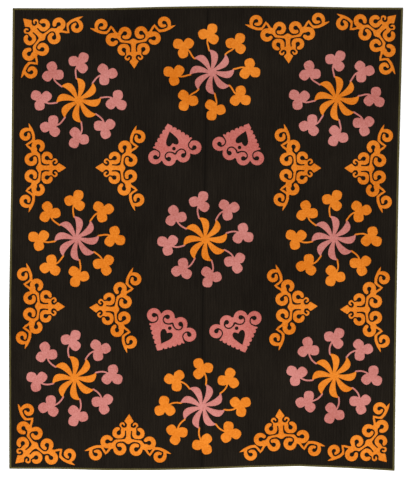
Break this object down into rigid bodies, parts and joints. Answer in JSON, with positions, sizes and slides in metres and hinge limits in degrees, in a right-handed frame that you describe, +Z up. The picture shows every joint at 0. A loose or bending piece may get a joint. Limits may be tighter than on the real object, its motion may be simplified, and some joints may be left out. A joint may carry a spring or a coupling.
{
  "type": "applique quilt",
  "caption": "Antique style bed quilt laid flat, dark channel-quilted ground with orange and pink cut cloth whirl wreaths, scroll brackets and hearts, narrow olive binding.",
  "frame": {"origin": "centre of the underside, on the surface that the quilt lies on", "axes": "+X to the right of the quilt seen from above, +Y to its head, the top edge of the picture, +Z up from its face"},
  "size_m": [1.932, 2.278, 0.0078],
  "materials": {
    "ground": "matte",
    "binding": "matte",
    "applique_orange": "matte",
    "applique_pink": "matte",
    "applique_rose": "matte"
  },
  "bodies": {
    "root": {"quilt": "ground", "binding_foot": "binding", "binding_right": "binding", "binding_head": "binding", "binding_left": "binding", "spray_1": "applique_pink", "whirl_1": "applique_orange", "spray_2": "applique_orange", "whirl_2": "applique_pink", "spray_3": "applique_pink", "whirl_3": "applique_orange", "spray_4": "applique_orange", "whirl_4": "applique_pink", "spray_5": "applique_pink", "whirl_5": "applique_orange", "spray_6": "applique_orange", "whirl_6": "applique_pink", "spray_7": "applique_pink", "whirl_7": "applique_orange", "spray_8": "applique_orange", "whirl_8": "applique_pink", "spray_9": "applique_pink", "whirl_9": "applique_orange", "scroll_head_left": "applique_orange", "scroll_head_right": "applique_orange", "scroll_foot_left": "applique_orange", "scroll_foot_right": "applique_orange", "scroll_left_upper": "applique_orange", "scroll_inner_left_upper": "applique_orange", "scroll_inner_right_upper": "applique_orange", "scroll_right_upper": "applique_orange", "scroll_left_lower": "applique_orange", "scroll_inner_left_lower": "applique_orange", "scroll_inner_right_lower": "applique_orange", "scroll_right_lower": "applique_orange", "scroll_corner_head_left": "applique_orange", "scroll_corner_head_right": "applique_orange", "scroll_corner_foot_left": "applique_orange", "scroll_corner_foot_right": "applique_orange", "heart_head_left": "applique_rose", "heart_head_right": "applique_rose", "heart_foot_left": "applique_rose", "heart_foot_right": "applique_rose"}
  },
  "joints": []
}
